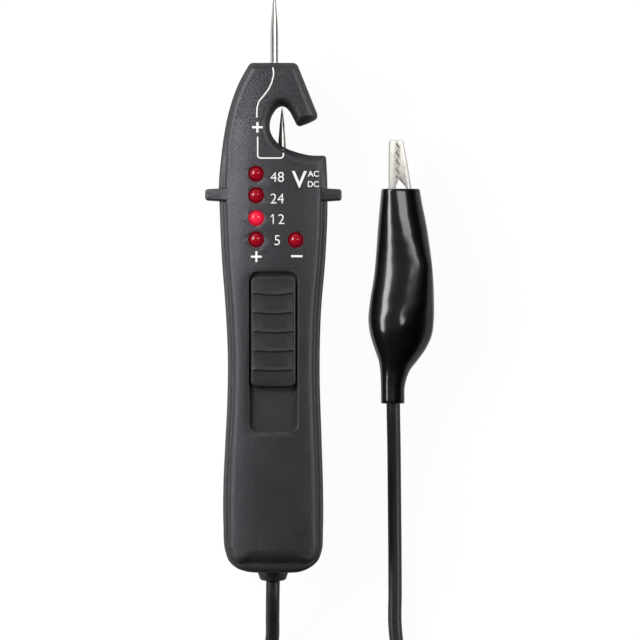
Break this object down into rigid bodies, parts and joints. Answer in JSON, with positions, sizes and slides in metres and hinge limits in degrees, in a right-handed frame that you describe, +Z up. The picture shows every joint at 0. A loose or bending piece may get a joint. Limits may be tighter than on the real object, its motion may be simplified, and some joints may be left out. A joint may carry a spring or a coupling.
{
  "type": "two-pole voltage tester",
  "caption": "Hand-held low-voltage tester with a probe tip, a cable hook with a piercing needle on a sprung thumb slide, indicator lamps, and a lead with a booted crocodile clip.",
  "frame": {"origin": "under the middle of the tester (housing with probe tip and grommet), on the surface that it lies on", "axes": "+Y along the housing towards the probe tip, +Z up out of the front face, +X towards the hook's mouth and the clip"},
  "size_m": [0.0494, 0.1825, 0.017],
  "materials": {
    "housing_plastic": "fine moulded grain, black",
    "slide_plastic": "fine moulded grain, black",
    "nickel": "nickel plated",
    "red_lens": "clear red epoxy",
    "lit_lens": "clear red epoxy, lit",
    "board_laminate": "green solder mask",
    "component_black": "moulded epoxy",
    "lead_vinyl": "satin black vinyl",
    "boot_vinyl": "glossy black dipped vinyl"
  },
  "bodies": {
    "tester": {"front_shell": "housing_plastic", "rear_shell": "housing_plastic", "shell_screw_low": "nickel", "shell_screw_high": "nickel", "cable_grommet": "lead_vinyl", "needle_spring": "nickel", "probe_tip": "nickel", "probe_contact": "nickel", "needle_contact": "nickel", "circuit_board": "board_laminate", "driver_chip": "component_black", "resistor_1": "component_black", "resistor_2": "component_black", "resistor_3": "component_black", "led_48": "red_lens", "led_24": "red_lens", "led_12": "lit_lens", "led_5": "red_lens", "led_minus": "red_lens", "inner_lead": "lead_vinyl", "cord_tester_run": "lead_vinyl", "cord_coil": "lead_vinyl", "coil_tie": "lead_vinyl", "cord_clip_run": "lead_vinyl", "clip_fixed_jaw": "nickel", "clip_rivet": "nickel", "clip_spring": "nickel", "clip_boot": "boot_vinyl"},
    "slide": {"thumb_slide": "slide_plastic", "needle_carrier": "slide_plastic", "piercing_needle": "nickel"},
    "moving_jaw": {"clip_moving_jaw": "nickel"}
  },
  "joints": [
    {"name": "needle_slide", "type": "slide", "parent": "tester", "child": "slide", "axis": [0, 1, 0], "range_m": [-0.009, 0], "stiffness_N_per_m": 60, "springref_m": 0.01, "deforming": ["needle_spring"]},
    {"name": "jaw_hinge", "type": "hinge", "parent": "tester", "child": "moving_jaw", "pos_m": [0.026, 0.00881, 0.0056], "axis": [0, 0, -1], "range_deg": [0, 18], "stiffness_Nm_per_rad": 0.15, "springref_deg": -28.65, "deforming": ["clip_boot", "clip_spring"]}
  ]
}
